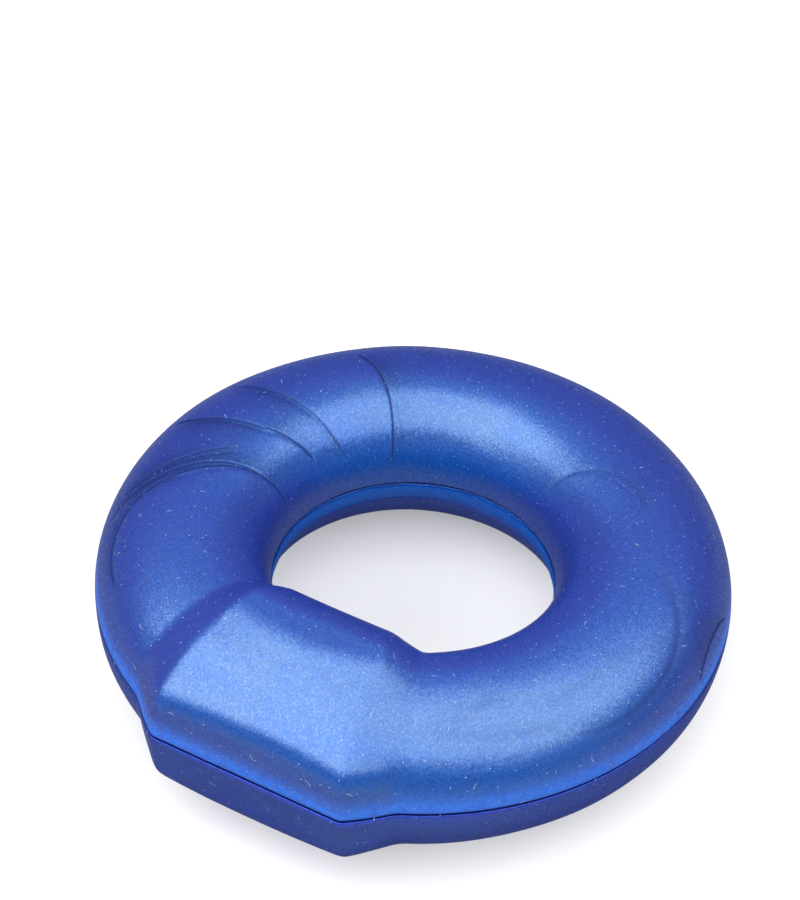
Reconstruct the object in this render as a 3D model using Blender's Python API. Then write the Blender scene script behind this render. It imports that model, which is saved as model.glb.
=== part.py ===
"""Soft friction ring with one grip block, split at its parting plane.

Metres, +Z up along the ring's axis. The block points along -Y, and the YZ
plane is a plane of symmetry. The origin is the centre of the ring, at the
mid height of its cross-section.

Every section through the ring's axis is a closed outline round a centre line
circle. reach() says how far that outline lies from the centre line, for one
direction round the ring (azimuth, 0 at the block) and one direction in the
section (slant, 0 outward, 180 degrees inward). Each half is lofted from it.
"""
import bpy
import bmesh
from math import cos, pi, radians, sin

MM = 0.001

# Ring
RING_OUTER_RADIUS = 33.0 * MM
RING_HALF_WIDTH = 9.1 * MM
RING_HALF_HEIGHT = 8.8 * MM
RING_SQUARENESS = 2.14
CENTRE_LINE_RADIUS = RING_OUTER_RADIUS - RING_HALF_WIDTH

# Grip block. A face is (normal angle above the outward direction, the
# distance out and the height of a point on it, rounding with the face before
# it, how straight it runs: 1 flat along the block, 0 turned with the ring).
BLOCK_WALL_OUT = 33.3 * MM
BLOCK_BORE_OUT = 12.5 * MM
BLOCK_HALF_HEIGHT = 10.9 * MM
BLOCK_FACES = (
    (radians(7.5), BLOCK_WALL_OUT, 0.0, 0.0, 1.0),
    (radians(56.0), 32.5 * MM, 6.3 * MM, 1.4 * MM, 0.6),
    (radians(72.0), 24.0 * MM, 10.65 * MM, 0.6 * MM, 0.2),
    (radians(90.0), 21.0 * MM, BLOCK_HALF_HEIGHT, 0.4 * MM, 1.0),
    (radians(118.0), 18.5 * MM, 10.6 * MM, 0.5 * MM, 1.0),
    (radians(140.0), 15.25 * MM, 8.4 * MM, 1.2 * MM, 1.0),
    (radians(172.0), BLOCK_BORE_OUT, 0.0, 1.8 * MM, 1.0),
)

# Azimuth where the block starts to run into the ring, and where it has gone
BLOCK_END_OUTER, BLOCK_END_INNER = radians(17.8), radians(22.8)
FADE_END_OUTER, FADE_END_INNER = radians(26.5), radians(33.0)
FADE_SOFTNESS = 0.15

# Parting surface, a little lower in the bore, and the bond layer in it
PARTING_OUTSIDE = 0.6 * MM
PARTING_BORE = -0.5 * MM
BOND_THICKNESS = 0.4 * MM
PIECE_GAP = 0.3 * MM
HALF_TO_PARTING = BOND_THICKNESS / 2 + PIECE_GAP
BOND_OUTER_SETBACK = 0.5 * MM
BEAD_DROP = 1.5 * MM
BEAD_DEPTH = 0.9 * MM
BEAD_PROUD = 0.25 * MM

# Mesh steps
BLOCK_ZONE = radians(34.0)
BLOCK_STEPS = 34
RING_STEPS = 58

# Slants that the section's points are spread between: (slant, steps up to it)
SECTION_STOPS = (
    (radians(36.0), 4),
    (radians(66.0), 3),
    (radians(94.0), 3),
    (radians(101.0), 1),
    (radians(109.0), 1),
    (radians(132.0), 3),
    (radians(150.0), 2),
)
LAST_STEPS = 4

FAR_AWAY = 1.0
TINY = 1e-6


def clear_scene():
    for old in list(bpy.data.objects):
        bpy.data.objects.remove(old, do_unlink=True)


def soft_ramp(value, softness):
    """0 below 0, 1 above 1, straight between, with both kinks rounded."""
    if abs(value) < softness:
        return (value + softness) ** 2 / (4 * softness)
    if abs(value - 1) < softness:
        return 1 - (1 + softness - value) ** 2 / (4 * softness)
    return min(max(value, 0.0), 1.0)


def soft_min(a, b, rounding):
    """The smaller of two reaches, rounded where they are close."""
    if rounding <= 0:
        return min(a, b)
    overlap = max(rounding - abs(a - b), 0.0) / rounding
    return min(a, b) - overlap * overlap * rounding / 4


def ring_reach(slant):
    across = abs(cos(slant) / RING_HALF_WIDTH) ** RING_SQUARENESS
    upright = abs(sin(slant) / RING_HALF_HEIGHT) ** RING_SQUARENESS
    return (across + upright) ** (-1 / RING_SQUARENESS)


def block_reach(azimuth, slant):
    reach_so_far = FAR_AWAY
    for angle, out, height, rounding, straight in BLOCK_FACES:
        normal_out, normal_up = cos(angle), sin(angle)
        offset = normal_out * out + normal_up * height
        lean = normal_out * cos(azimuth * straight)
        facing = lean * cos(slant) + normal_up * abs(sin(slant))
        if facing > TINY:
            to_face = (offset - lean * CENTRE_LINE_RADIUS) / facing
            reach_so_far = soft_min(reach_so_far, to_face, rounding)
    return reach_so_far


def between(outer, inner, slant):
    """An end angle that runs from its outer value to its bore value."""
    return (outer + inner) / 2 + (outer - inner) / 2 * cos(slant)


def reach(azimuth, slant):
    turn = abs(azimuth)
    block_end = between(BLOCK_END_OUTER, BLOCK_END_INNER, slant)
    fade_end = between(FADE_END_OUTER, FADE_END_INNER, slant)
    ring = ring_reach(slant)
    share = soft_ramp((fade_end - turn) / (fade_end - block_end), FADE_SOFTNESS)
    if share <= 0:
        return ring
    return ring + (block_reach(min(turn, block_end), slant) - ring) * share


def slant_at_height(azimuth, height, inward):
    """The slant at which the outline crosses a height, by bisection."""
    low, high = -pi / 2, pi / 2
    for _ in range(48):
        middle = (low + high) / 2
        slant = pi - middle if inward else middle
        if reach(azimuth, slant) * sin(slant) < height:
            low = middle
        else:
            high = middle
    return pi - low if inward else low


def outline_point(azimuth, slant):
    """Distance from the ring's axis, and height."""
    size = reach(azimuth, slant)
    return CENTRE_LINE_RADIUS + size * cos(slant), size * sin(slant)


def azimuths():
    """Round the whole ring, closer together on the block, symmetric."""
    block = [-BLOCK_ZONE + 2 * BLOCK_ZONE * i / BLOCK_STEPS for i in range(BLOCK_STEPS)]
    rest = 2 * pi - 2 * BLOCK_ZONE
    ring = [BLOCK_ZONE + rest * i / RING_STEPS for i in range(RING_STEPS)]
    return block + ring


def wrapped(azimuth):
    return azimuth - 2 * pi if azimuth > pi else azimuth


def outline(azimuth, outside_height, bore_height, over):
    """The outline from a height outside to a height in the bore, over or under."""
    start = slant_at_height(azimuth, outside_height, inward=False)
    end = slant_at_height(azimuth, bore_height, inward=True)
    side = 1 if over else -1
    if not over:
        end -= 2 * pi
    points = [outline_point(azimuth, start)]
    last = start
    for stop, steps in [(side * stop, steps) for stop, steps in SECTION_STOPS] + [(end, LAST_STEPS)]:
        for i in range(steps):
            points.append(outline_point(azimuth, last + (stop - last) * (i + 1) / steps))
        last = stop
    return points


def parting_line(azimuth):
    """The parting surface's ends in one section: outside, then in the bore."""
    outside = outline_point(azimuth, slant_at_height(azimuth, PARTING_OUTSIDE, inward=False))
    bore = outline_point(azimuth, slant_at_height(azimuth, PARTING_BORE, inward=True))
    return outside, bore


def parting_height(azimuth, out):
    """The parting surface's height at a distance from the ring's axis."""
    (outside, high), (bore, low) = parting_line(azimuth)
    return low + (high - low) * (out - bore) / (outside - bore)


def upper_section(azimuth):
    outside_height = PARTING_OUTSIDE + HALF_TO_PARTING
    bore_height = PARTING_BORE + HALF_TO_PARTING
    return outline(azimuth, outside_height, bore_height, over=True)


def lower_section(azimuth):
    """The lower half's outline, with a rebate in the bore for the bead."""
    shelf = PARTING_BORE - HALF_TO_PARTING - BEAD_DROP
    points = outline(azimuth, PARTING_OUTSIDE - HALF_TO_PARTING, shelf, over=False)
    back = points[-1][0] + BEAD_DEPTH + PIECE_GAP
    return points + [(back, shelf), (back, parting_height(azimuth, back) - HALF_TO_PARTING)]


def bond_section(azimuth):
    """A thin layer with a rounded bead that hangs down its bore edge."""
    (outside, _), (bore, _) = parting_line(azimuth)
    half = BOND_THICKNESS / 2
    edge = outside - BOND_OUTER_SETBACK
    back = bore + BEAD_DEPTH
    shoulder = bore + 0.25 * BEAD_DEPTH
    shoulder_height = parting_height(azimuth, shoulder)
    top = PARTING_BORE + half
    foot = PARTING_BORE - half - BEAD_DROP
    middle = (top + foot) / 2
    return [
        (edge, parting_height(azimuth, edge) - half),
        (edge, parting_height(azimuth, edge) + half),
        (shoulder, shoulder_height + half),
        (bore - 0.4 * BEAD_PROUD, top + (middle - top) * 0.4),
        (bore - BEAD_PROUD, middle),
        (bore - 0.4 * BEAD_PROUD, foot + (middle - foot) * 0.4),
        (shoulder, foot),
        (back, foot),
        (back, parting_height(azimuth, back) - half),
    ]


def loft(name, section_at, material):
    """One closed tube of equal sections round the ring's axis."""
    mesh_builder = bmesh.new()
    loops = []
    for azimuth in azimuths():
        turn = azimuth - pi / 2
        loops.append([
            mesh_builder.verts.new((out * cos(turn), out * sin(turn), height))
            for out, height in section_at(wrapped(azimuth))
        ])
    for i, loop in enumerate(loops):
        after = loops[(i + 1) % len(loops)]
        count = len(loop)
        for j in range(count):
            k = (j + 1) % count
            mesh_builder.faces.new((loop[j], after[j], after[k], loop[k]))
    bmesh.ops.recalc_face_normals(mesh_builder, faces=mesh_builder.faces)
    mesh = bpy.data.meshes.new(name)
    mesh_builder.to_mesh(mesh)
    mesh_builder.free()
    mesh.shade_smooth()
    mesh.set_sharp_from_angle(angle=radians(35))
    mesh.materials.append(material)
    piece = bpy.data.objects.new(name, mesh)
    bpy.context.scene.collection.objects.link(piece)
    return piece


def soft_blue(name, colour, roughness):
    material = bpy.data.materials.new(name)
    material.use_nodes = True
    shader = material.node_tree.nodes["Principled BSDF"]
    shader.inputs["Base Color"].default_value = colour
    shader.inputs["Roughness"].default_value = roughness
    shader.inputs["Metallic"].default_value = 0.0
    return material


def build():
    clear_scene()
    pearl = soft_blue("pearl_blue", (0.05, 0.15, 0.60, 1.0), 0.35)
    bond = soft_blue("bond_blue", (0.01, 0.04, 0.20, 1.0), 0.4)
    loft("upper_half", upper_section, pearl)
    loft("lower_half", lower_section, pearl)
    loft("bond_film", bond_section, bond)


build()
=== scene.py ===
"""Pearl blue friction ring with a grip block: its moulded surface, materials, stage and camera.

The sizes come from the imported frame. Both halves and the bond layer are lofted again here, finely,
from the section rule that the CAD uses, with the marks of moulding carved in. Metres, +Z up along
the ring's axis, the block along -Y. Azimuth runs round the ring from the block, counterclockwise
seen from above. Slant runs round the section: 0 outward, 90 degrees up, 180 into the bore.
"""

from math import atan2, cos, hypot, pi, radians, sin
from types import SimpleNamespace

import bpy
import numpy as np
from bpy.props import FloatProperty, FloatVectorProperty, IntProperty, PointerProperty
from mathutils import Matrix, Vector, noise


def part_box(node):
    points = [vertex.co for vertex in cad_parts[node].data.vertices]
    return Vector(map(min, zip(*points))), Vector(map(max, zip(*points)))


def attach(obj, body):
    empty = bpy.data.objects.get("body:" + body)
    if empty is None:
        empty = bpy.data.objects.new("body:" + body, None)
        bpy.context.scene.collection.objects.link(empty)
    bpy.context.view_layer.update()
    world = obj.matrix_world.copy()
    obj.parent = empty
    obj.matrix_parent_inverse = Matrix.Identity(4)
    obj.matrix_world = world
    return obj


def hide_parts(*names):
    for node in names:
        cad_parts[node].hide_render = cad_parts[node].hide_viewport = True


bl_info = {
    "name": "Pearl Friction Ring",
    "version": (1, 0, 0),
    "blender": (4, 5, 0),
    "location": "View3D > Sidebar > Friction Ring",
    "description": "Builds a pearl elastomer friction ring with a grip block",
    "category": "Add Mesh",
}

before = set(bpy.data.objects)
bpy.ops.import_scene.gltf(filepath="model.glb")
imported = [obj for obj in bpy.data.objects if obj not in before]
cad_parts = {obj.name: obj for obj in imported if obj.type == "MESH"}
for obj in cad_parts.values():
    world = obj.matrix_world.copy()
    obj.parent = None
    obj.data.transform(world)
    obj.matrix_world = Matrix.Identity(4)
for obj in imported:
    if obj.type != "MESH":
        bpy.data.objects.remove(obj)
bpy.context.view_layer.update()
LOWER_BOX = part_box("lower_half")
UPPER_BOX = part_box("upper_half")

MM = 0.001
BODY = "root"


# --- Sizes and colours that a user would change ---------------------------------------------


class RingSizes(bpy.types.PropertyGroup):
    """The moulding's sizes."""

    outer_radius: FloatProperty(
        name="Outer radius", description="Ring axis to the outside of the ring",
        default=(LOWER_BOX[1][0] - LOWER_BOX[0][0]) / 2, unit="LENGTH", precision=5)
    half_width: FloatProperty(
        name="Half width", description="Half the width of the ring's section",
        default=9.1 * MM, unit="LENGTH", precision=5)
    half_height: FloatProperty(
        name="Half height", description="Half the height of the ring's section",
        default=8.8 * MM, unit="LENGTH", precision=5)
    squareness: FloatProperty(
        name="Squareness", description="2 is an ellipse, more is squarer", default=2.14)
    wall_out: FloatProperty(
        name="Block wall", description="Ring axis to the block's outer wall",
        default=-LOWER_BOX[0][1], unit="LENGTH", precision=5)
    bore_out: FloatProperty(
        name="Block bore wall", description="Ring axis to the block's wall in the bore",
        default=12.5 * MM, unit="LENGTH", precision=5)
    block_half_height: FloatProperty(
        name="Block half height", description="Mid height to the block's crown",
        default=UPPER_BOX[1][2], unit="LENGTH", precision=5)
    crown_shift: FloatProperty(
        name="Crown shift", description="How far the ring's crown leans towards the bore",
        default=1.0 * MM, unit="LENGTH", precision=5)
    seam_gap: FloatProperty(
        name="Seam gap", description="Open width of the parting line outside",
        default=0.26 * MM, unit="LENGTH", precision=5)
    columns: IntProperty(
        name="Columns", description="Mesh steps round the ring", default=900, min=90)


class RingColours(bpy.types.PropertyGroup):
    """The elastomer's colours."""

    body: FloatVectorProperty(
        name="Body", description="Blue of the elastomer, seen straight on", subtype="COLOR",
        default=(0.002, 0.060, 0.320), size=3, min=0, max=1)
    body_slant: FloatVectorProperty(
        name="Body, slanting", description="Blue of the elastomer, seen at a slant", subtype="COLOR",
        default=(0.018, 0.036, 0.260), size=3, min=0, max=1)
    body_lower: FloatVectorProperty(
        name="Body, lower half", description="Blue of the lower half, a little more violet",
        subtype="COLOR", default=(0.026, 0.055, 0.620), size=3, min=0, max=1)
    # Also the colour of the painted shade in the seam and in the creases beside the bead.
    line: FloatVectorProperty(
        name="Flow line", description="Blue in the flow lines", subtype="COLOR",
        default=(0.003, 0.016, 0.150), size=3, min=0, max=1)
    bond: FloatVectorProperty(
        name="Bond", description="Blue of the bond layer and its bead", subtype="COLOR",
        default=(0.000, 0.075, 0.420), size=3, min=0, max=1)
    sheen: FloatVectorProperty(
        name="Pearl sheen", description="Tint of the pearl reflection", subtype="COLOR",
        default=(0.155, 0.235, 0.28), size=3, min=0, max=1)
    lint: FloatVectorProperty(
        name="Lint", description="Pale dust on the tacky surface", subtype="COLOR",
        default=(0.45, 0.55, 0.75), size=3, min=0, max=1)


class StageSettings(bpy.types.PropertyGroup):
    """Camera and light."""

    heading: FloatProperty(
        name="Heading", description="Camera's turn round the ring from the block",
        default=radians(27.63), subtype="ANGLE")
    elevation: FloatProperty(
        name="Elevation", description="Camera's height above the ring's plane",
        default=radians(44.15), subtype="ANGLE")
    distance: FloatProperty(
        name="Distance", description="Camera to the ring's centre",
        default=0.2861, unit="LENGTH")
    aim_up: FloatProperty(
        name="Aim up", description="How far above the centre the camera looks",
        default=radians(2.65), subtype="ANGLE")
    aim_left: FloatProperty(
        name="Aim left", description="How far left of the centre the camera looks",
        default=radians(0.40), subtype="ANGLE")
    roll: FloatProperty(
        name="Roll", description="Camera's roll, counterclockwise",
        default=radians(2.61), subtype="ANGLE")
    lens: FloatProperty(name="Lens", description="Focal length in millimetres", default=109.8)
    softbox_height: FloatProperty(
        name="Softbox height", description="Overhead softbox above the ring",
        default=0.24, unit="LENGTH")
    softbox_radiance: FloatProperty(
        name="Softbox radiance", description="Brightness of the overhead softbox", default=2.7)
    side_radiance: FloatProperty(
        name="Side radiance", description="Brightness of the softbox to the left", default=0.9)
    rear_radiance: FloatProperty(
        name="Rear radiance", description="Brightness of the softbox behind", default=0.28)
    surround: FloatProperty(
        name="Surround", description="Brightness of the room", default=0.20)


# --- Section rule, as in the CAD -------------------------------------------------------------

# Azimuths where the block starts to run into the ring, and where it has gone
BLOCK_END_OUTER, BLOCK_END_INNER = radians(17.8), radians(22.8)
FADE_END_OUTER, FADE_END_INNER = radians(26.5), radians(33.0)
FADE_SOFTNESS = 0.15
PARTING_OUTSIDE = 0.6 * MM
FAR_AWAY = 1.0
TINY = 1e-6

# The pieces' edges in the bore, the bead and the bond film
UPPER_BORE_EDGE = -0.10 * MM
BEAD_TOP = -0.20 * MM
BEAD_FOOT = -2.30 * MM
LOWER_BORE_EDGE = -2.40 * MM
BEAD_DEPTH = 0.9 * MM
BEAD_PROUD = 0.26 * MM
FILM_THICKNESS = 0.10 * MM
FILM_SETBACK = 0.45 * MM
EDGE_ROUND = 0.14 * MM
EDGE_STEPS = 3

# Slants that the section's points are spread between: (slant, steps up to it)
SECTION_STOPS = (
    (radians(8.0), 10),
    (radians(30.0), 14),
    (radians(42.0), 12),
    (radians(60.0), 12),
    (radians(70.0), 8),
    (radians(90.0), 13),
    (radians(98.0), 8),
    (radians(110.0), 8),
    (radians(120.0), 8),
    (radians(160.0), 24),
)
LAST_STEPS = 14

# Moulding marks, in (azimuth, slant) degrees: start, middle, end, then width, depth and step
# of the surface across the line in millimetres.
FLOW_LINES = (
    ((221, 82), (218, 115), (219, 168), 0.20, 0.10, 0.10),
    ((252, 56), (245, 106), (237, 158), 0.20, 0.08, 0.08),
    ((268, 44), (264, 80), (261, 103), 0.20, 0.12, 0.10),
    ((260, 108), (255, 127), (250, 149), 0.18, 0.10, 0.08),
    ((291, 38), (281, 74), (272, 105), 0.18, 0.08, 0.03),
    ((294, 38), (281, 92), (270, 166), 0.18, 0.12, 0.06),
    ((295, 46), (284, 88), (275, 128), 0.18, 0.10, 0.02),
    ((309, 36), (297, 47), (286, 90), 0.26, 0.08, 0.03),
    ((149, 140), (140, 107), (121, 90), 0.50, 0.03, 0.10),
    ((98, 64), (85, 43), (58, 38), 0.60, 0.035, 0.10),
    ((104, 22), (97, 26), (89, 13), 0.14, 0.10, 0.06),
    ((35, 58), (40, 68), (50, 76), 0.70, 0.015, 0.05),
    ((35, 58), (44, 52), (58, 49), 0.70, 0.015, 0.05),
    ((58, 62), (70, 67), (86, 68), 0.70, 0.015, 0.05),
)


def soft_ramp(value, softness):
    """0 below 0, 1 above 1, straight between, with both kinks rounded."""
    flat = np.clip(value, 0.0, 1.0)
    low = (value + softness) ** 2 / (4 * softness)
    high = 1 - (1 + softness - value) ** 2 / (4 * softness)
    flat = np.where(np.abs(value) < softness, low, flat)
    return np.where(np.abs(value - 1) < softness, high, flat)


def soft_min(a, b, rounding):
    """The smaller of two reaches, rounded where they are close."""
    if rounding <= 0:
        return np.minimum(a, b)
    overlap = np.maximum(rounding - np.abs(a - b), 0.0) / rounding
    return np.minimum(a, b) - overlap * overlap * rounding / 4


class Section:
    """The moulding's outline at any azimuth."""

    def __init__(self, sizes):
        self.half_width = sizes.half_width
        self.half_height = sizes.half_height
        self.squareness = sizes.squareness
        self.centre_line = sizes.outer_radius - sizes.half_width
        self.crown_shift = sizes.crown_shift
        # Block faces: normal angle, distance out, height, rounding, how straight (1) or turned (0)
        self.faces = (
            (radians(7.5), sizes.wall_out, 0.0, 0.0, 1.0),
            (radians(56.0), 32.5 * MM, 6.3 * MM, 1.4 * MM, 0.6),
            (radians(72.0), 24.0 * MM, 10.65 * MM, 0.6 * MM, 0.2),
            (radians(90.0), 21.0 * MM, sizes.block_half_height, 0.4 * MM, 1.0),
            (radians(118.0), 18.5 * MM, 10.6 * MM, 0.5 * MM, 1.0),
            (radians(140.0), 15.25 * MM, 8.4 * MM, 1.2 * MM, 1.0),
            (radians(172.0), sizes.bore_out, 0.0, 1.8 * MM, 1.0),
        )

    def ring_reach(self, slant):
        across = np.abs(np.cos(slant) / self.half_width) ** self.squareness
        upright = np.abs(np.sin(slant) / self.half_height) ** self.squareness
        return (across + upright) ** (-1 / self.squareness)

    def block_reach(self, azimuth, slant):
        reach_so_far = np.full(np.broadcast(azimuth, slant).shape, FAR_AWAY)
        for angle, out, height, rounding, straight in self.faces:
            lean = cos(angle) * np.cos(azimuth * straight)
            facing = lean * np.cos(slant) + sin(angle) * np.abs(np.sin(slant))
            offset = cos(angle) * out + sin(angle) * height
            to_face = (offset - lean * self.centre_line) / np.maximum(facing, TINY)
            to_face = np.where(facing > TINY, np.minimum(to_face, FAR_AWAY), FAR_AWAY)
            reach_so_far = soft_min(reach_so_far, to_face, rounding)
        return reach_so_far

    def block_share(self, azimuth, slant):
        """1 on the block, 0 on the ring."""
        block_end = between(BLOCK_END_OUTER, BLOCK_END_INNER, slant)
        fade_end = between(FADE_END_OUTER, FADE_END_INNER, slant)
        share = soft_ramp((fade_end - np.abs(azimuth)) / (fade_end - block_end), FADE_SOFTNESS)
        return share, block_end

    def reach(self, azimuth, slant):
        """Centre line to the surface."""
        share, block_end = self.block_share(azimuth, slant)
        block = self.block_reach(np.minimum(np.abs(azimuth), block_end), slant)
        ring = self.ring_reach(slant)
        return ring + (block - ring) * share

    def point(self, azimuth, slant):
        """Distance from the ring's axis, and height."""
        size = self.reach(azimuth, slant)
        crown = np.maximum(np.sin(slant), 0.0) ** 4 * (1 - self.block_share(azimuth, slant)[0])
        out = self.centre_line + size * np.cos(slant) - self.crown_shift * crown
        return out, size * np.sin(slant)

    def slant_at(self, azimuth, height, inward):
        """The slant at which the outline crosses a height, by bisection."""
        low, high = np.full_like(azimuth, -pi / 2), np.full_like(azimuth, pi / 2)
        for _ in range(40):
            middle = (low + high) / 2
            slant = pi - middle if inward else middle
            below = self.reach(azimuth, slant) * np.sin(slant) < height
            low, high = np.where(below, middle, low), np.where(below, high, middle)
        return pi - low if inward else low


def between(outer, inner, slant):
    """An end angle that runs from its outer value to its bore value."""
    return (outer + inner) / 2 + (outer - inner) / 2 * np.cos(slant)


def azimuth_steps(columns):
    """Azimuths round the ring, from -180 to 180 degrees."""
    return (np.arange(columns) + 0.5) / columns * 2 * pi - pi


def slant_steps(section, azimuth, outside, bore, over):
    """Slants of the outline at every azimuth, from a height outside to one in the bore."""
    start = section.slant_at(azimuth, outside, inward=False)
    end = section.slant_at(azimuth, bore, inward=True) - (0 if over else 2 * pi)
    side = 1 if over else -1
    stops = [(np.full_like(start, side * slant), steps) for slant, steps in SECTION_STOPS]
    slants, last = [start], start
    for stop, steps in stops + [(end, LAST_STEPS)]:
        slants += [last + (stop - last) * (i + 1) / steps for i in range(steps)]
        last = stop
    return np.stack(slants, axis=1)


# --- Moulding marks --------------------------------------------------------------------------


def to_place(section, azimuth, slant):
    """Millimetres along the ring's centre line and round its section."""
    along = np.mod(azimuth, 2 * pi) * section.centre_line / MM
    around = slant * section.half_width / MM
    return along, around


def arc_of(section, line):
    """Centre and radius of the arc through a flow line's three points, and its half length."""
    points = [to_place(section, radians(a), radians(s)) for a, s in line[:3]]
    (ax, ay), (bx, by), (cx, cy) = points
    twice = 2 * (ax * (by - cy) + bx * (cy - ay) + cx * (ay - by))
    a2, b2, c2 = ax * ax + ay * ay, bx * bx + by * by, cx * cx + cy * cy
    centre_x = (a2 * (by - cy) + b2 * (cy - ay) + c2 * (ay - by)) / twice
    centre_y = (a2 * (cx - bx) + b2 * (ax - cx) + c2 * (bx - ax)) / twice
    half_length = max(hypot(ax - bx, ay - by), hypot(cx - bx, cy - by))
    return (centre_x, centre_y), hypot(ax - centre_x, ay - centre_y), (bx, by), half_length


STEP_RUN = 1.8
END_FADE = 0.75
GROOVE_SHARE = 0.45
FINE_GROOVE_SHARE = 0.30


def smooth_step(low, high, value):
    share = np.clip((value - low) / (high - low), 0.0, 1.0)
    return share * share * (3 - 2 * share)


def flow_relief(section, azimuth, slant):
    """Height of the flow lines on the surface, in metres."""
    along, around = to_place(section, azimuth, slant)
    relief = np.zeros_like(around)
    for line in FLOW_LINES:
        (cx, cy), radius, (mx, my), half_length = arc_of(section, line)
        width, depth, step = line[3:]
        across = np.hypot(along - cx, around - cy) - radius
        from_middle = np.hypot(along - mx, around - my)
        ends = 1 - smooth_step(END_FADE * half_length, half_length, from_middle)
        groove = -depth * np.exp(-((across / (2 * width)) ** 2))
        beside = np.exp(-np.abs(across) / STEP_RUN) * smooth_step(-0.6 * width, 0.6 * width, across)
        beside = beside * (1 - smooth_step(0.45 * half_length, half_length, from_middle))
        relief += groove * ends - step * beside
    return relief * GROOVE_SHARE * MM


PARTED_RUN = 2 * MM
PARTED_SHARE = 0.3
WAVE_SIZE = 11 * MM
WAVE_HEIGHT = 0.10 * MM
LIP_HEIGHT = 0.05 * MM
LIP_RUN = 0.35 * MM


def waviness(points):
    """Slow unevenness of a soft moulding, in metres."""
    heights = [noise.noise(Vector(point) / WAVE_SIZE) for point in points.reshape(-1, 3)]
    return np.array(heights).reshape(points.shape[:2]) * WAVE_HEIGHT


def seam_lip(azimuth, height):
    """A faint ridge of flash beside the parting line."""
    raggedness = 0.6 + 0.25 * np.sin(azimuth * 37) + 0.15 * np.sin(azimuth * 101 + 1.7)
    return LIP_HEIGHT * raggedness * np.exp(-np.abs(height - PARTING_OUTSIDE) / LIP_RUN)


def to_space(azimuth, out, height):
    return np.stack([out * np.sin(azimuth), -out * np.cos(azimuth), height], axis=-1)


def surface(section, azimuth, slant):
    """The moulded surface with its marks, as (columns, steps, 3) points."""
    out, height = section.point(azimuth, slant)
    points = to_space(azimuth, out, height)
    along = np.roll(points, -1, axis=0) - np.roll(points, 1, axis=0)
    around = np.gradient(points, axis=1)
    normals = np.cross(along, around)
    normals /= np.linalg.norm(normals, axis=-1, keepdims=True)
    outward = points - to_space(azimuth, section.centre_line + 0 * out, 0 * height)
    normals *= np.sign(np.sum(normals * outward, axis=-1, keepdims=True))
    outside = np.cos(slant) > 0
    relief = waviness(points) + flow_relief(section, azimuth, slant)
    relief += seam_lip(azimuth, height) * outside
    parted = np.minimum(np.abs(height - PARTING_OUTSIDE) / PARTED_RUN, 1.0)
    share = np.where(outside, PARTED_SHARE + (1 - PARTED_SHARE) * parted, parted)
    return points + normals * (relief * share)[..., None]


# --- Meshes ----------------------------------------------------------------------------------


def edge_round(start, inward_sign, down_sign, azimuth, size=EDGE_ROUND):
    """Points that round the surface's edge over onto the parting face."""
    out = np.hypot(start[:, 0], start[:, 1])
    rows = []
    for i in range(1, EDGE_STEPS + 1):
        angle = pi / 2 * i / EDGE_STEPS
        inset = size * (1 - cos(angle)) * inward_sign
        drop = size * sin(angle) * down_sign
        rows.append(to_space(azimuth, out + inset, start[:, 2] + drop))
    return rows


def half_points(section, azimuth, over, seam_gap):
    """All the points of one half: its surface, two rounded edges and its parting face."""
    away = 1 if over else -1
    outside = PARTING_OUTSIDE + away * (seam_gap / 2 + EDGE_ROUND)
    bore = UPPER_BORE_EDGE + EDGE_ROUND if over else LOWER_BORE_EDGE - EDGE_ROUND
    slants = slant_steps(section, azimuth, outside, bore, over)
    shown = surface(section, azimuth[:, None], slants)
    rows = [shown[:, i] for i in range(shown.shape[1])]
    bore_rows = edge_round(rows[-1], 1, -away, azimuth)
    outer_rows = edge_round(rows[0], -1, -away, azimuth)
    middle = [] if over else rebate_rows(bore_rows[-1], azimuth)
    return np.stack(rows + bore_rows + middle + outer_rows[::-1], axis=1)


def rebate_rows(shelf, azimuth):
    """The rebate in the lower half's bore that the bead sits in."""
    back = np.hypot(shelf[:, 0], shelf[:, 1]) + BEAD_DEPTH
    top = UPPER_BORE_EDGE - FILM_THICKNESS - 2 * EDGE_ROUND
    return [to_space(azimuth, back, shelf[:, 2]), to_space(azimuth, back, 0 * back + top)]


BEAD_STEPS = 14
BEAD_LEAN = 0.8
BEAD_SHOULDER = 0.15 * MM
BEAD_PLAY = 0.2 * MM


def bond_points(section, azimuth):
    """The bond layer: a film across the parting and a rounded bead down the bore."""
    outside, _ = section.point(azimuth, section.slant_at(azimuth, PARTING_OUTSIDE, False))
    bore, _ = section.point(azimuth, section.slant_at(azimuth, BEAD_FOOT / 2, True))
    edge = outside - FILM_SETBACK
    half = FILM_THICKNESS / 2
    rows = [
        to_space(azimuth, edge, 0 * edge + PARTING_OUTSIDE - half),
        to_space(azimuth, edge, 0 * edge + PARTING_OUTSIDE + half),
    ]
    for i in range(BEAD_STEPS + 1):
        angle = pi * i / BEAD_STEPS
        ripple = 1 + 0.25 * np.sin(azimuth * 9 + 0.8) + 0.15 * np.sin(azimuth * 23)
        proud = BEAD_PROUD * ripple * sin(angle) ** 0.7 * (1 - BEAD_LEAN * i / BEAD_STEPS)
        height = BEAD_TOP + (BEAD_FOOT - BEAD_TOP) * (1 - cos(angle)) / 2
        line = bore + BEAD_SHOULDER * (1 - sin(angle))
        rows.append(to_space(azimuth, line - proud, 0 * bore + height))
    back = bore + BEAD_DEPTH - BEAD_PLAY
    rows.append(to_space(azimuth, back, 0 * back + BEAD_FOOT))
    rows.append(to_space(azimuth, back, 0 * back + BEAD_TOP - FILM_THICKNESS))
    return np.stack(rows, axis=1)


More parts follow.
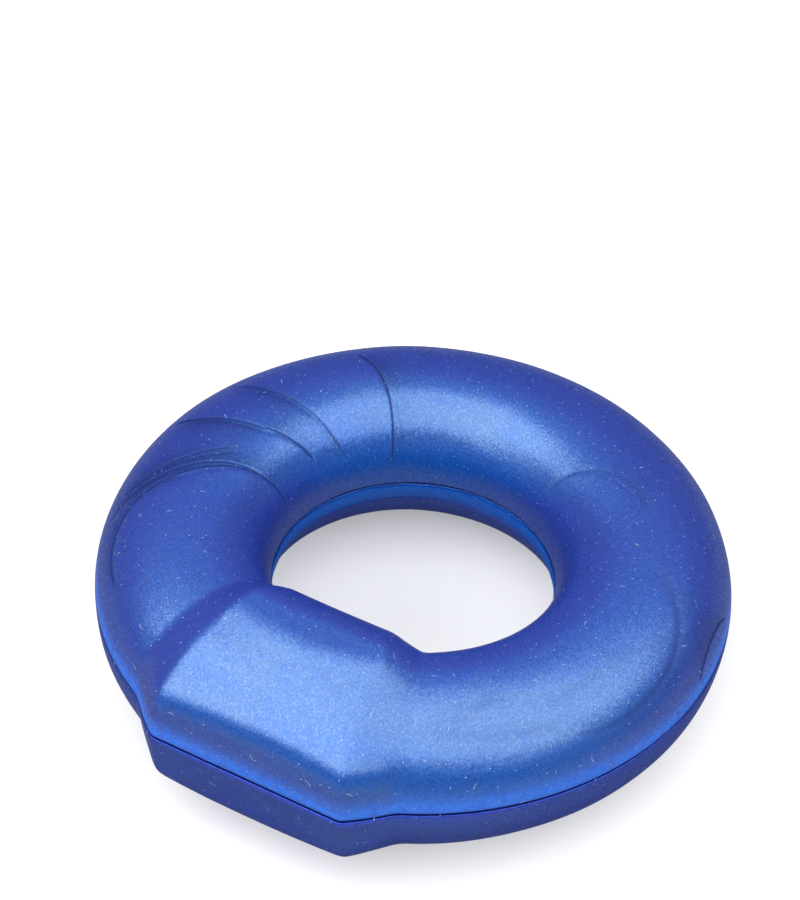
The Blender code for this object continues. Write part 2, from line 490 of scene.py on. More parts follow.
def closed_loft(name, points, material):
    """A closed mesh through rings of points, shaded smooth."""
    columns, steps = points.shape[:2]
    column, step = np.meshgrid(np.arange(columns), np.arange(steps), indexing="ij")
    after, above = (column + 1) % columns, (step + 1) % steps
    here, there = column * steps, after * steps
    corners = [here + step, there + step, there + above, here + above]
    faces = np.stack(corners, axis=-1).reshape(-1, 4)
    corner = points.reshape(-1, 3)
    first = corner[faces]
    if np.sum(first[:, 0] * np.cross(first[:, 1], first[:, 2])) < 0:
        faces = faces[:, ::-1]
    mesh = bpy.data.meshes.new(name)
    mesh.from_pydata(corner.tolist(), [], faces.tolist())
    mesh.shade_smooth()
    mesh.set_sharp_from_angle(angle=radians(50))
    mesh.materials.append(material)
    piece = bpy.data.objects.new(name, mesh)
    bpy.context.scene.collection.objects.link(piece)
    return piece


# --- Shader node groups ----------------------------------------------------------------------


class Tree:
    """Short calls for adding and wiring nodes."""

    def __init__(self, tree):
        self.tree = tree

    def add(self, kind, settings=(), **inputs):
        node = self.tree.nodes.new(kind)
        for name, value in dict(settings).items():
            setattr(node, name, value)
        for name, value in inputs.items():
            self.feed(node.inputs[name.replace("_", " ")], value)
        return node

    def feed(self, socket, value):
        if isinstance(value, bpy.types.NodeSocket):
            self.tree.links.new(value, socket)
        else:
            socket.default_value = value

    def math(self, operation, *values):
        node = self.tree.nodes.new("ShaderNodeMath")
        node.operation = operation
        for socket, value in zip(node.inputs, values):
            self.feed(socket, value)
        return node.outputs[0]

    def vector(self, operation, *values):
        node = self.tree.nodes.new("ShaderNodeVectorMath")
        node.operation = operation
        for socket, value in zip(node.inputs, values):
            self.feed(socket, value)
        return node.outputs["Value" if operation in ("DISTANCE", "LENGTH") else "Vector"]

    def smooth(self, value, low, high, start=0.0, stop=1.0):
        node = self.tree.nodes.new("ShaderNodeMapRange")
        node.interpolation_type = "SMOOTHSTEP"
        for socket, setting in zip(node.inputs, (value, low, high, start, stop)):
            self.feed(socket, setting)
        return node.outputs["Result"]

    def colour_mix(self, share, first, second, blend="MIX"):
        node = self.tree.nodes.new("ShaderNodeMix")
        node.data_type, node.blend_type = "RGBA", blend
        for name, value in (("Factor_Float", share), ("A_Color", first), ("B_Color", second)):
            self.feed(next(s for s in node.inputs if s.identifier == name), value)
        return next(s for s in node.outputs if s.identifier == "Result_Color")

    def group(self, group, **inputs):
        node = self.tree.nodes.new("ShaderNodeGroup")
        node.node_tree = group
        for name, value in inputs.items():
            self.feed(node.inputs[name.replace("_", " ")], value)
        return node


def new_group(name, inputs, outputs):
    """A shader node group with named sockets, and short calls for its inside."""
    group = bpy.data.node_groups.new(name, "ShaderNodeTree")
    for way, sockets in (("INPUT", inputs), ("OUTPUT", outputs)):
        for socket_name, kind in sockets:
            group.interface.new_socket(name=socket_name, in_out=way, socket_type="NodeSocket" + kind)
    source, sink = group.nodes.new("NodeGroupInput"), group.nodes.new("NodeGroupOutput")
    return group, Tree(group), source.outputs, sink.inputs


def make_ring_place():
    """Where a point lies: millimetres along the centre line and round the section."""
    group, tree, inside, out = new_group(
        "ring_place",
        [("Position", "Vector"), ("Centre Line", "Float"), ("Section", "Float")],
        [("Place", "Vector"), ("Height", "Float")])
    split = tree.add("ShaderNodeSeparateXYZ", Vector=inside["Position"]).outputs
    from_block = tree.math("ARCTAN2", split["X"], tree.math("MULTIPLY", split["Y"], -1.0))
    azimuth = tree.math("WRAP", from_block, 2 * pi, 0.0)
    flat = tree.add("ShaderNodeCombineXYZ", X=split["X"], Y=split["Y"]).outputs[0]
    beyond = tree.math("SUBTRACT", tree.vector("LENGTH", flat), inside["Centre Line"])
    slant = tree.math("ARCTAN2", split["Z"], beyond)
    along = tree.math("MULTIPLY", azimuth, tree.math("MULTIPLY", inside["Centre Line"], 1 / MM))
    around = tree.math("MULTIPLY", slant, tree.math("MULTIPLY", inside["Section"], 1 / MM))
    tree.feed(out["Place"], tree.add("ShaderNodeCombineXYZ", X=along, Y=around).outputs[0])
    tree.feed(out["Height"], tree.math("MULTIPLY", split["Z"], 1 / MM))
    return group


def make_flow_line():
    """One moulding line: a groove on an arc, with a step in the surface beside it."""
    group, tree, inside, out = new_group(
        "flow_line",
        [("Place", "Vector"), ("Centre", "Vector"), ("Radius", "Float"), ("Middle", "Vector"),
         ("Reach", "Float"), ("Width", "Float"), ("Depth", "Float"), ("Step", "Float")],
        [("Line", "Float"), ("Beside", "Float"), ("Relief", "Float")])
    to_centre = tree.vector("DISTANCE", inside["Place"], inside["Centre"])
    across = tree.math("SUBTRACT", to_centre, inside["Radius"])
    in_widths = tree.math("DIVIDE", across, inside["Width"])
    squared = tree.math("MULTIPLY", in_widths, in_widths)
    bell = tree.math("EXPONENT", tree.math("MULTIPLY", squared, -1.0))
    from_middle = tree.vector("DISTANCE", inside["Place"], inside["Middle"])
    share = tree.math("DIVIDE", from_middle, inside["Reach"])
    ends = tree.smooth(share, END_FADE, 1.0, 1.0, 0.0)
    line = tree.math("MULTIPLY", bell, ends)
    fall = tree.math("EXPONENT", tree.math("MULTIPLY", tree.math("ABSOLUTE", across), -1 / STEP_RUN))
    beside = tree.math("MULTIPLY", fall, tree.smooth(in_widths, -0.6, 0.6))
    beside = tree.math("MULTIPLY", beside, tree.smooth(share, 0.45, 1.0, 1.0, 0.0))
    shelf = tree.math("MULTIPLY", beside, inside["Step"])
    groove = tree.math("MULTIPLY", line, inside["Depth"])
    tree.feed(out["Line"], line)
    tree.feed(out["Beside"], beside)
    tree.feed(out["Relief"], tree.math("MULTIPLY", tree.math("ADD", groove, shelf), -1.0))
    return group


def make_flow_pattern(flow_line, section):
    """All the moulding lines of this ring together."""
    group, tree, inside, out = new_group(
        "flow_pattern", [("Place", "Vector")],
        [("Line", "Float"), ("Beside", "Float"), ("Relief", "Float")])
    line_sum, beside_sum, relief_sum = 0.0, 0.0, 0.0
    for line in FLOW_LINES:
        (cx, cy), radius, (mx, my), half_length = arc_of(section, line)
        width, depth, step = line[3:]
        mark = tree.group(
            flow_line, Place=inside["Place"], Centre=(cx, cy, 0), Radius=radius,
            Middle=(mx, my, 0), Reach=half_length, Width=width, Depth=depth, Step=step).outputs
        strength = min(depth / 0.10, 1.0)
        line_sum = tree.math("MAXIMUM", line_sum, tree.math("MULTIPLY", mark["Line"], strength))
        beside_sum = tree.math("ADD", beside_sum, tree.math("MULTIPLY", mark["Beside"], strength))
        relief_sum = tree.math("ADD", relief_sum, mark["Relief"])
    tree.feed(out["Line"], line_sum)
    tree.feed(out["Beside"], tree.math("MINIMUM", beside_sum, 1.0))
    tree.feed(out["Relief"], relief_sum)
    return group


def make_pearl_flake():
    """Fine mica: a random tone for each flake, and the few that catch the light."""
    group, tree, inside, out = new_group(
        "pearl_flake",
        [("Position", "Vector"), ("Flake Size", "Float")],
        [("Tone", "Float"), ("Bright", "Float")])
    scale = tree.math("DIVIDE", 1.0, inside["Flake Size"])
    coarse = random_cells(tree, inside["Position"], scale)
    fine = random_cells(tree, inside["Position"], tree.math("MULTIPLY", scale, 2.1))
    coarse_part = tree.math("MULTIPLY", coarse["Red"], 0.6)
    mixed = tree.math("ADD", coarse_part, tree.math("MULTIPLY", fine["Red"], 0.4))
    tree.feed(out["Tone"], tree.math("POWER", mixed, 1.6))
    fine_part = tree.math("MULTIPLY", fine["Green"], 0.3)
    bright = tree.math("ADD", tree.math("MULTIPLY", coarse["Green"], 0.7), fine_part)
    tree.feed(out["Bright"], tree.math("POWER", bright, 3.0))
    return group


def random_cells(tree, position, scale):
    cells = tree.add("ShaderNodeTexVoronoi", Vector=position, Scale=scale, Randomness=1.0).outputs
    return tree.add("ShaderNodeSeparateColor", Color=cells["Color"]).outputs


def make_flake_tilt():
    """Each flake lies at its own slight angle to the surface."""
    group, tree, inside, out = new_group(
        "flake_tilt",
        [("Position", "Vector"), ("Normal", "Vector"), ("Flake Size", "Float"), ("Tilt", "Float")],
        [("Normal", "Vector")])
    scale = tree.math("DIVIDE", 1.0, inside["Flake Size"])
    cells = tree.add("ShaderNodeTexVoronoi", Vector=inside["Position"], Scale=scale).outputs
    centred = tree.vector("SUBTRACT", cells["Color"], (0.5, 0.5, 0.5))
    wide = tree.add("ShaderNodeVectorMath", {"operation": "SCALE"})
    tree.feed(wide.inputs[0], centred)
    tree.feed(wide.inputs["Scale"], inside["Tilt"])
    leaning = tree.vector("ADD", inside["Normal"], wide.outputs[0])
    tree.feed(out["Normal"], tree.vector("NORMALIZE", leaning))
    return group


def make_pearl_drift():
    """Slow streaks in the pearl pigment, drawn out along the flow of the moulding."""
    group, tree, inside, out = new_group(
        "pearl_drift", [("Place", "Vector"), ("Size", "Float")],
        [("Drift", "Float"), ("Streak", "Float")])
    scale = tree.math("DIVIDE", 1.0, inside["Size"])
    broad = tree.math("MULTIPLY", scale, 0.6)
    bend = tree.add("ShaderNodeTexNoise", Vector=inside["Place"], Scale=broad,
                    Detail=1.0, Distortion=0.6).outputs
    pulled = tree.vector("MULTIPLY", inside["Place"], (0.40, 1.0, 1.0))
    shifted = tree.vector("ADD", pulled, tree.vector("MULTIPLY", bend["Color"], (5.0, 5.0, 0.0)))
    drift = tree.add("ShaderNodeTexNoise", Vector=shifted, Scale=scale, Detail=2.0).outputs
    thin = tree.vector("MULTIPLY", shifted, (0.6, 2.6, 1.0))
    streak = tree.add("ShaderNodeTexNoise", Vector=thin, Scale=scale, Detail=3.0).outputs
    tree.feed(out["Drift"], drift[0])
    tree.feed(out["Streak"], streak[0])
    return group


def make_joint_shade():
    """Painted shade in the joints: one line outside at the parting, two beside the bead in the bore; and
    painted light on a band just above the parting.
    """
    group, tree, inside, out = new_group(
        "joint_shade", [("Place", "Vector"), ("Height", "Float"), ("Section", "Float")],
        [("Shade", "Float"), ("Lip Light", "Float")])
    around = tree.add("ShaderNodeSeparateXYZ", Vector=inside["Place"]).outputs["Y"]
    half_turn = tree.math("MULTIPLY", inside["Section"], pi / 2 / MM)
    in_bore = tree.math("GREATER_THAN", tree.math("ABSOLUTE", around), half_turn)
    outside = tree.math("SUBTRACT", 1.0, in_bore)
    ragged = tree.add("ShaderNodeTexNoise", Vector=inside["Place"], Scale=1.6, Detail=3.0).outputs[0]
    # Painted shade: a ragged dark line at the parting outside, and two dark lines in the bore beside the
    # bead.
    seam_width = tree.math("MULTIPLY_ADD", ragged, 0.30, 0.12)
    seam = line_at(tree, inside["Height"], PARTING_OUTSIDE / MM, seam_width)
    crease = line_at(tree, inside["Height"], BEAD_TOP / MM, 0.22)
    foot = line_at(tree, inside["Height"], LOWER_BORE_EDGE / MM, 0.12)
    bore_lines = tree.math("MULTIPLY", tree.math("MAXIMUM", crease, foot), in_bore)
    tree.feed(out["Shade"], tree.math("MAXIMUM", tree.math("MULTIPLY", seam, outside), bore_lines))
    # Painted light: a patchy lighter band just above the parting, outside only.
    lip = line_at(tree, inside["Height"], PARTING_OUTSIDE / MM + 0.8, 1.2)
    patchy = tree.smooth(ragged, 0.0, 0.6)
    above = tree.math("GREATER_THAN", inside["Height"], PARTING_OUTSIDE / MM)
    shown = tree.math("MULTIPLY", outside, above)
    tree.feed(out["Lip Light"], tree.math("MULTIPLY", tree.math("MULTIPLY", lip, shown), patchy))
    return group


def line_at(tree, height, middle, width):
    """A soft line at one height."""
    off = tree.math("DIVIDE", tree.math("SUBTRACT", height, middle), width)
    return tree.math("EXPONENT", tree.math("MULTIPLY", tree.math("MULTIPLY", off, off), -1.0))


def make_lint():
    """Dust and short fibres that a tacky surface holds: one in some of the cells."""
    group, tree, inside, out = new_group(
        "lint",
        [("Place", "Vector"), ("Spacing", "Float"), ("Share", "Float"), ("Length", "Float"),
         ("Thickness", "Float")],
        [("Lint", "Float")])
    scale = tree.math("DIVIDE", 1.0, inside["Spacing"])
    cells = tree.add("ShaderNodeTexVoronoi", {"voronoi_dimensions": "2D"},
                     Vector=inside["Place"], Scale=scale).outputs
    values = tree.add("ShaderNodeSeparateColor", Color=cells["Color"]).outputs
    spot = tree.vector("MULTIPLY", inside["Place"], (1.0, 1.0, 0.0))
    local = tree.vector("SUBTRACT", spot, cells["Position"])
    turned = tree.add("ShaderNodeVectorRotate", {"rotation_type": "Z_AXIS"}, Vector=local,
                      Angle=tree.math("MULTIPLY", values["Red"], 2 * pi)).outputs[0]
    split = tree.add("ShaderNodeSeparateXYZ", Vector=turned).outputs
    bow = tree.math("MULTIPLY", tree.math("MULTIPLY", split["X"], split["X"]), 0.8)
    length = tree.math("MULTIPLY", inside["Length"], tree.math("ADD", values["Blue"], 0.1))
    thick = inside["Thickness"]
    off_line = tree.math("ABSOLUTE", tree.math("SUBTRACT", split["Y"], bow))
    beyond = tree.math("SUBTRACT", tree.math("ABSOLUTE", split["X"]), length)
    near = tree.smooth(off_line, tree.math("MULTIPLY", thick, 0.5), thick, 1.0, 0.0)
    within = tree.smooth(beyond, 0.0, thick, 1.0, 0.0)
    present = tree.math("LESS_THAN", values["Green"], inside["Share"])
    tree.feed(out["Lint"], tree.math("MULTIPLY", tree.math("MULTIPLY", near, within), present))
    return group


# --- Materials -------------------------------------------------------------------------------

# Pearl pigment: a high IOR with a dark tint keeps the sheen even from face to rim
SPECULAR_IOR = 4.0
FLAKE_SIZE = 0.14 * MM
TILTED_FLAKE_SIZE = 0.09 * MM
FLAKE_TILT = 0.17
DRIFT_SIZE = 9.0
SPARKLE = 0.74
SPARKLE_IOR = 2.0
SPARKLE_ROUGHNESS = 0.30

# How much each pattern lightens (+) or darkens (-) the body colour
GRAIN_MIDDLE = 0.35
GRAIN_TONE = 0.55
STREAK_TONE = 0.35
SMOKE_TONE = 0.45
BESIDE_TONE = -0.22
# Painted light: how much the band above the parting is lightened, and how far it is turned to the
# straight-on blue.
LIP_LIGHT_TONE = 1.3
LIP_LIGHT_TINT = 0.85
LINE_TONE = 0.80
# Painted shade in the seam and in the creases beside the bead
JOINT_SHADE_TONE = 0.80
LINT_TONE = 0.8

# How much each pattern turns the soft body into bare pearl
SHEEN_LOSS = 0.10
SHEEN_STREAK = 0.45
SHEEN_SMOKE = 0.45
SHEEN_BESIDE = 0.25
# The flow lines and the painted shade in the seam and bore creases dim the sheen by this much
SHEEN_DARK = 0.9

# How much each pattern roughens the surface, and its height in millimetres
GRAIN_ROUGH, STREAK_ROUGH, LINE_ROUGH, LINT_ROUGH = 0.10, 0.10, 0.35, 0.3
SMOKE_HEIGHT, STREAK_HEIGHT, LINT_HEIGHT = 0.28, 0.05, 0.02


def shared_groups(section):
    """The node groups, built once."""
    if "ring_place" not in bpy.data.node_groups:
        make_ring_place()
        make_flow_pattern(make_flow_line(), section)
        make_pearl_flake()
        make_flake_tilt()
        make_pearl_drift()
        make_joint_shade()
        make_lint()
    return bpy.data.node_groups


def rgba(colour):
    return (colour[0], colour[1], colour[2], 1.0)


def elastomer(name, section, tints, colours, flow_share, roughness):
    """Soft moulded elastomer with pearl pigment."""
    straight_on, slanting, sheen_share = tints
    material = bpy.data.materials.new(name)
    material.use_nodes = True
    tree = Tree(material.node_tree)
    shader = material.node_tree.nodes["Principled BSDF"]
    masks = surface_masks(tree, shared_groups(section), section)
    dark = lines_and_joint_shade(tree, masks, flow_share)
    blue = pearl_blue(tree, masks, straight_on, slanting, flow_share)
    # Flow lines, and the painted shade in the seam and bore creases, take the line blue.
    lined = tree.colour_mix(dark, blue, rgba(colours.line))
    linted = tree.math("MULTIPLY", masks.lint, LINT_TONE)
    tree.feed(shader.inputs["Base Color"], tree.colour_mix(linted, lined, rgba(colours.lint)))
    tree.feed(shader.inputs["Metallic"], bare_pearl(tree, masks, dark, flow_share))
    tree.feed(shader.inputs["Coat Weight"], sparkle(tree, masks, dark, SPARKLE * sheen_share ** 3))
    tree.feed(shader.inputs["Roughness"], satin(tree, masks, flow_share, roughness))
    tree.feed(shader.inputs["Normal"], fine_relief(tree, masks, flow_share))
    shader.inputs["Coat IOR"].default_value = SPARKLE_IOR
    shader.inputs["Coat Roughness"].default_value = SPARKLE_ROUGHNESS
    shader.inputs["IOR"].default_value = SPECULAR_IOR
    shader.inputs["Specular Tint"].default_value = rgba([sheen_share * c for c in colours.sheen])
    return material


def surface_masks(tree, groups, section):
    """The patterns that the colour, sheen, roughness and relief share."""
    position = tree.add("ShaderNodeTexCoord").outputs["Object"]
    where = tree.group(groups["ring_place"], Position=position, Centre_Line=section.centre_line,
                       Section=section.half_width).outputs
    place = where["Place"]
    # Painted shade in the seam and bore creases, and painted light on the band above the parting.
    joint_light_and_shade = tree.group(groups["joint_shade"], Place=place, Height=where["Height"],
                       Section=section.half_width).outputs
    flake = tree.group(groups["pearl_flake"], Position=position, Flake_Size=FLAKE_SIZE).outputs
    drift = tree.group(groups["pearl_drift"], Place=place, Size=DRIFT_SIZE).outputs
    return SimpleNamespace(
        groups=groups, position=position, joint_light_and_shade=joint_light_and_shade,
        flow=tree.group(groups["flow_pattern"], Place=place).outputs,
        bright=flake["Bright"],
        grain=tree.math("SUBTRACT", flake["Tone"], GRAIN_MIDDLE),
        streaks=tree.math("SUBTRACT", drift["Streak"], 0.5),
        smoke=tree.math("SUBTRACT", drift["Drift"], 0.5),
        lint=all_lint(tree, groups["lint"], place))


def lines_and_joint_shade(tree, masks, flow_share):
    """Flow lines and the painted shade in the seam and bore creases together."""
    lines = tree.math("MULTIPLY", masks.flow["Line"], LINE_TONE * flow_share)
    return tree.math("MAXIMUM", lines, tree.math("MULTIPLY", masks.joint_light_and_shade["Shade"], JOINT_SHADE_TONE))


def pearl_blue(tree, masks, straight_on, slanting, flow_share):
    """The body colour: it turns with the slant, and its patterns lighten and darken it."""
    facing = tree.add("ShaderNodeLayerWeight", Blend=0.5).outputs["Facing"]
    # Painted light: the lip mask lightens a band above the parting and turns its tint to the straight-on
    # blue.
    away_from_lip_light = tree.math("MULTIPLY_ADD", masks.joint_light_and_shade["Lip Light"], -LIP_LIGHT_TINT, 1.0)
    slanted = tree.math("MULTIPLY", tree.smooth(facing, 0.10, 0.45), away_from_lip_light)
    tint = tree.colour_mix(slanted, rgba(straight_on), rgba(slanting))
    tone = tree.math("MULTIPLY_ADD", masks.grain, GRAIN_TONE, 1.0)
    tone = tree.math("MULTIPLY_ADD", masks.streaks, STREAK_TONE, tone)
    tone = tree.math("MULTIPLY_ADD", masks.smoke, SMOKE_TONE, tone)
    tone = tree.math("MULTIPLY_ADD", masks.flow["Beside"], BESIDE_TONE * flow_share, tone)
    # Painted light on the band above the parting.
    tone = tree.math("MULTIPLY_ADD", masks.joint_light_and_shade["Lip Light"], LIP_LIGHT_TONE, tone)
    grey = tree.add("ShaderNodeCombineColor", Red=tone, Green=tone, Blue=tone).outputs[0]
    return tree.colour_mix(1.0, tint, grey, "MULTIPLY")


def bare_pearl(tree, masks, dark, flow_share):
    """Where the pigment lies bare and mirrors in its own blue."""
    share = tree.math("MULTIPLY_ADD", masks.streaks, SHEEN_STREAK, SHEEN_LOSS)
    share = tree.math("MULTIPLY_ADD", masks.smoke, SHEEN_SMOKE, share)
    share = tree.math("MULTIPLY_ADD", masks.flow["Beside"], SHEEN_BESIDE * flow_share, share)
    # In the flow lines and the painted shade of the seam and bore creases, the pearl mirrors the dark
    # line blue: painted shade on the sheen too.
    least = tree.math("MULTIPLY", dark, SHEEN_DARK)
    share = tree.math("MAXIMUM", tree.math("MAXIMUM", share, 0.0), least)
    return tree.math("MINIMUM", share, 1.0)


def sparkle(tree, masks, dark, strength):
    """Pale flakes that show in the highlights, none in the lines, in the painted shade of the seam and
    bore creases, or under lint.
    """
    clear_of_lines_shade_and_lint = tree.math("SUBTRACT", 1.0, tree.math("MAXIMUM", dark, masks.lint))
    return tree.math("MULTIPLY", masks.bright, tree.math("MULTIPLY", clear_of_lines_shade_and_lint, strength))


def satin(tree, masks, flow_share, roughness):
    rough = tree.math("MULTIPLY_ADD", masks.grain, GRAIN_ROUGH, roughness)
    rough = tree.math("MULTIPLY_ADD", masks.streaks, STREAK_ROUGH, rough)
    rough = tree.math("MULTIPLY_ADD", masks.flow["Line"], LINE_ROUGH * flow_share, rough)
    return tree.math("MULTIPLY_ADD", masks.lint, LINT_ROUGH, rough)


def fine_relief(tree, masks, flow_share):
    """Fine unevenness as a bump, with each flake at its own tilt."""
    relief = tree.math("MULTIPLY", masks.flow["Relief"], flow_share * FINE_GROOVE_SHARE)
    relief = tree.math("MULTIPLY_ADD", masks.smoke, SMOKE_HEIGHT, relief)
    relief = tree.math("MULTIPLY_ADD", masks.streaks, STREAK_HEIGHT, relief)
    relief = tree.math("MULTIPLY_ADD", masks.lint, LINT_HEIGHT, relief)
    bump = tree.add("ShaderNodeBump", Height=relief, Distance=MM, Strength=1.0).outputs["Normal"]
    return tree.group(masks.groups["flake_tilt"], Position=masks.position, Normal=bump,
                      Flake_Size=TILTED_FLAKE_SIZE, Tilt=FLAKE_TILT).outputs["Normal"]


def all_lint(tree, lint, place):
    """Round dust and short fibres together."""
    dust = tree.group(lint, Place=place, Spacing=1.5, Share=0.50, Length=0.015,
                      Thickness=0.06).outputs["Lint"]
    fibre = tree.group(lint, Place=place, Spacing=3.1, Share=0.30, Length=0.30,
                       Thickness=0.028).outputs["Lint"]
    return tree.math("MAXIMUM", dust, fibre)


# --- Operators -------------------------------------------------------------------------------


def add_piece(name, points, material, node):
    piece = closed_loft(name, points, material)
    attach(piece, BODY)
    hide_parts(node)
    return piece


def pearl_material(context, section, name, body, sheen_share):
    colours = context.scene.ring_colours
    tints = (body, colours.body_slant, sheen_share)
    return elastomer(name, section, tints, colours, flow_share=1.0, roughness=0.30)


class RING_OT_upper_half(bpy.types.Operator):
    """Add the upper half of the ring and its block, down to the parting line."""

    bl_idname = "ring.upper_half"
    bl_label = "Upper Half"

    def execute(self, context):
        sizes = context.scene.ring_sizes
        section = Section(sizes)
        points = half_points(section, azimuth_steps(sizes.columns), True, sizes.seam_gap)
        body = context.scene.ring_colours.body
        material = pearl_material(context, section, "pearl_elastomer_upper", body, 1.0)
        add_piece("upper_half_moulding", points, material, "upper_half")
        return {"FINISHED"}


class RING_OT_lower_half(bpy.types.Operator):
    """Add the lower half of the ring and its block, with the rebate for the bead."""

    bl_idname = "ring.lower_half"
    bl_label = "Lower Half"

    def execute(self, context):
        sizes = context.scene.ring_sizes
        section = Section(sizes)
        points = half_points(section, azimuth_steps(sizes.columns), False, sizes.seam_gap)
        body = context.scene.ring_colours.body_lower
        material = pearl_material(context, section, "pearl_elastomer_lower", body, 0.75)
        add_piece("lower_half_moulding", points, material, "lower_half")
        return {"FINISHED"}


class RING_OT_bond_film(bpy.types.Operator):
    """Add the bond layer between the halves, with its bead in the bore."""

    bl_idname = "ring.bond_film"
    bl_label = "Bond Film"

    def execute(self, context):
        sizes, colours = context.scene.ring_sizes, context.scene.ring_colours
        section = Section(sizes)
        points = bond_points(section, azimuth_steps(sizes.columns))
        material = elastomer("bond_elastomer", section, (colours.bond, colours.bond, 0.6), colours,
                             flow_share=0.3, roughness=0.35)
        add_piece("bond_film_bead", points, material, "bond_film")
        return {"FINISHED"}


FLOOR_SIZE = 3.0
FOOT_INNER_EDGE = 19.1 * MM
FLOOR_CLEARANCE = 0.10 * MM
FLOOR_GLOW = 0.46
FLOOR_ROUGHNESS = 0.8
ROOM_SEEN = 0.95
FLOOR_ALBEDO, FLOOR_ALBEDO_MIRRORED = 0.52, 0.30
HOLE_SHADE_BEHIND = 6 * MM
HOLE_SHADE_FROM, HOLE_SHADE_TO = 0.0, 24 * MM
HOLE_GLOW_SHARE = 0.2


def floor_tilt(section, foot):
    """The ring leans: it stands on the block's foot and the far side's underside."""
    return (foot - section.half_height) / (FOOT_INNER_EDGE + section.centre_line)


def pale_floor_material(hole_middle):
    """Pale to the eye, greyer to the ring that it lights, a little shaded inside the ring's hole."""
    material = bpy.data.materials.new("pale_floor")
    material.use_nodes = True
    tree = Tree(material.node_tree)
    shader = material.node_tree.nodes["Principled BSDF"]
    shader.inputs["Roughness"].default_value = FLOOR_ROUGHNESS
    shader.inputs["Emission Color"].default_value = (1.0, 1.0, 1.0, 1.0)
    path = tree.add("ShaderNodeLightPath").outputs
    albedo = tree.smooth(path["Is Glossy Ray"], 0.0, 1.0, FLOOR_ALBEDO, FLOOR_ALBEDO_MIRRORED)
    grey = tree.add("ShaderNodeCombineColor", Red=albedo, Green=albedo, Blue=albedo).outputs[0]
    tree.feed(shader.inputs["Base Color"], grey)
    spot = tree.add("ShaderNodeTexCoord").outputs["Object"]
    from_hole = tree.vector("DISTANCE", spot, hole_middle)
    share = tree.smooth(from_hole, HOLE_SHADE_FROM, HOLE_SHADE_TO, HOLE_GLOW_SHARE, 1.0)
    glow = tree.math("MULTIPLY", path["Is Camera Ray"], tree.math("MULTIPLY", share, FLOOR_GLOW))
    tree.feed(shader.inputs["Emission Strength"], glow)
    return material


def softbox(context, name, across, along, height, radiance):
    """A flat softbox that faces down, placed in the camera's heading."""
    light = bpy.data.lights.new(name, "AREA")
    light.shape = "RECTANGLE"
    light.size, light.size_y = across[1] - across[0], along[1] - along[0]
    light.energy = radiance * pi * light.size * light.size_y
    box = bpy.data.objects.new(name, light)
    box.visible_camera = False
    place = Vector((sum(across) / 2, sum(along) / 2, height))
    turn = Matrix.Rotation(context.scene.ring_stage.heading, 4, "Z")
    box.matrix_world = turn @ Matrix.Translation(place)
    context.scene.collection.objects.link(box)


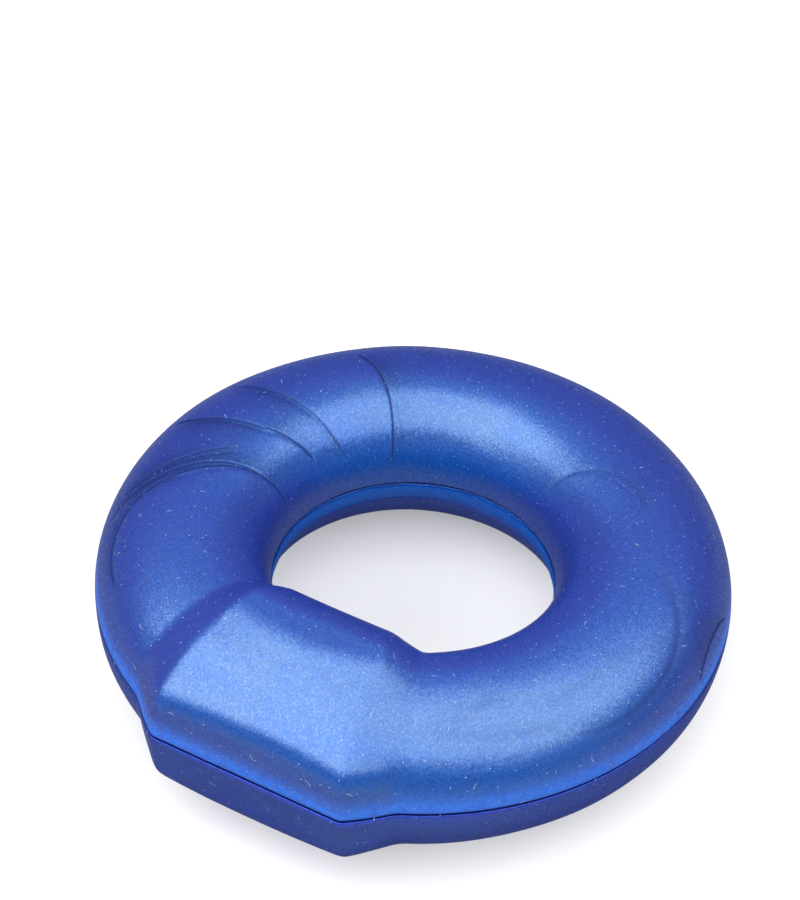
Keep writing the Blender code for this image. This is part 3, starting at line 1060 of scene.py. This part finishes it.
class RING_OT_stage(bpy.types.Operator):
    """Add the pale floor, the soft light and the camera."""

    bl_idname = "ring.stage"
    bl_label = "Stage"

    def execute(self, context):
        self.add_floor(context)
        self.add_lights(context)
        self.add_camera(context)
        return {"FINISHED"}

    def add_floor(self, context):
        sizes = context.scene.ring_sizes
        section = Section(sizes)
        slope = floor_tilt(section, sizes.block_half_height)
        bpy.ops.mesh.primitive_plane_add(size=FLOOR_SIZE)
        floor = context.object
        floor.name = "pale_floor"
        height_at_axis = -sizes.block_half_height + slope * FOOT_INNER_EDGE - FLOOR_CLEARANCE
        floor.location = (0, 0, height_at_axis)
        floor.rotation_euler = (atan2(slope, 1.0), 0, 0)
        heading = context.scene.ring_stage.heading
        behind = HOLE_SHADE_BEHIND * Vector((-sin(heading), cos(heading), 0))
        floor.data.materials.append(pale_floor_material(behind))

    def add_lights(self, context):
        stage = context.scene.ring_stage
        height = stage.softbox_height
        near, far = -1.38 * height, 0.38 * height
        softbox(context, "overhead_softbox", (-1.6 * height, 1.6 * height), (near, far),
                height, stage.softbox_radiance)
        softbox(context, "left_softbox", (-2.6 * height, -0.2 * height), (near, far),
                height * 1.02, stage.side_radiance)
        softbox(context, "rear_softbox", (-1.5 * height, 1.5 * height), (far, 1.1 * height),
                height * 1.04, stage.rear_radiance)
        world = bpy.data.worlds.new("room")
        world.use_nodes = True
        tree = Tree(world.node_tree)
        seen = tree.add("ShaderNodeLightPath").outputs["Is Camera Ray"]
        strength = tree.add("ShaderNodeMapRange", Value=seen, To_Min=stage.surround, To_Max=ROOM_SEEN)
        background = world.node_tree.nodes["Background"]
        background.inputs["Color"].default_value = (1, 1, 1, 1)
        tree.feed(background.inputs["Strength"], strength.outputs["Result"])
        context.scene.world = world
        context.scene.view_settings.view_transform = "Standard"

    def add_camera(self, context):
        stage = context.scene.ring_stage
        heading, elevation = stage.heading, stage.elevation
        back = Vector((sin(heading) * cos(elevation), -cos(heading) * cos(elevation), sin(elevation)))
        right = Vector((cos(heading), sin(heading), 0))
        up = back.cross(right)
        turn = Matrix((right, up, back)).transposed().to_4x4()
        aim = Matrix.Rotation(stage.aim_up, 4, "X") @ Matrix.Rotation(stage.aim_left, 4, "Y")
        lens = bpy.data.cameras.new("camera")
        lens.lens = stage.lens
        lens.sensor_width = 36.0
        lens.clip_start = 0.01
        camera = bpy.data.objects.new("camera", lens)
        place = Matrix.Translation(back * stage.distance)
        camera.matrix_world = place @ turn @ aim @ Matrix.Rotation(stage.roll, 4, "Z")
        context.scene.collection.objects.link(camera)
        context.scene.camera = camera


class RING_PT_panel(bpy.types.Panel):
    """Lists the ring's pieces in the sidebar."""

    bl_idname = "RING_PT_panel"
    bl_label = "Friction Ring"
    bl_space_type = "VIEW_3D"
    bl_region_type = "UI"
    bl_category = "Friction Ring"

    def draw(self, context):
        layout = self.layout
        for settings in (context.scene.ring_sizes, context.scene.ring_colours, context.scene.ring_stage):
            box = layout.box()
            for name in settings.__annotations__:
                box.prop(settings, name)
        for operator in OPERATORS:
            layout.operator(operator.bl_idname)


SETTINGS = (RingSizes, RingColours, StageSettings)
OPERATORS = (RING_OT_upper_half, RING_OT_lower_half, RING_OT_bond_film, RING_OT_stage)


def register():
    for item in SETTINGS + OPERATORS + (RING_PT_panel,):
        bpy.utils.register_class(item)
    bpy.types.Scene.ring_sizes = PointerProperty(type=RingSizes)
    bpy.types.Scene.ring_colours = PointerProperty(type=RingColours)
    bpy.types.Scene.ring_stage = PointerProperty(type=StageSettings)


def unregister():
    del bpy.types.Scene.ring_stage
    del bpy.types.Scene.ring_colours
    del bpy.types.Scene.ring_sizes
    for item in reversed(SETTINGS + OPERATORS + (RING_PT_panel,)):
        bpy.utils.unregister_class(item)


def main():
    register()
    bpy.ops.ring.upper_half()
    bpy.ops.ring.lower_half()
    bpy.ops.ring.bond_film()
    bpy.ops.ring.stage()


if __name__ == "__main__":
    main()
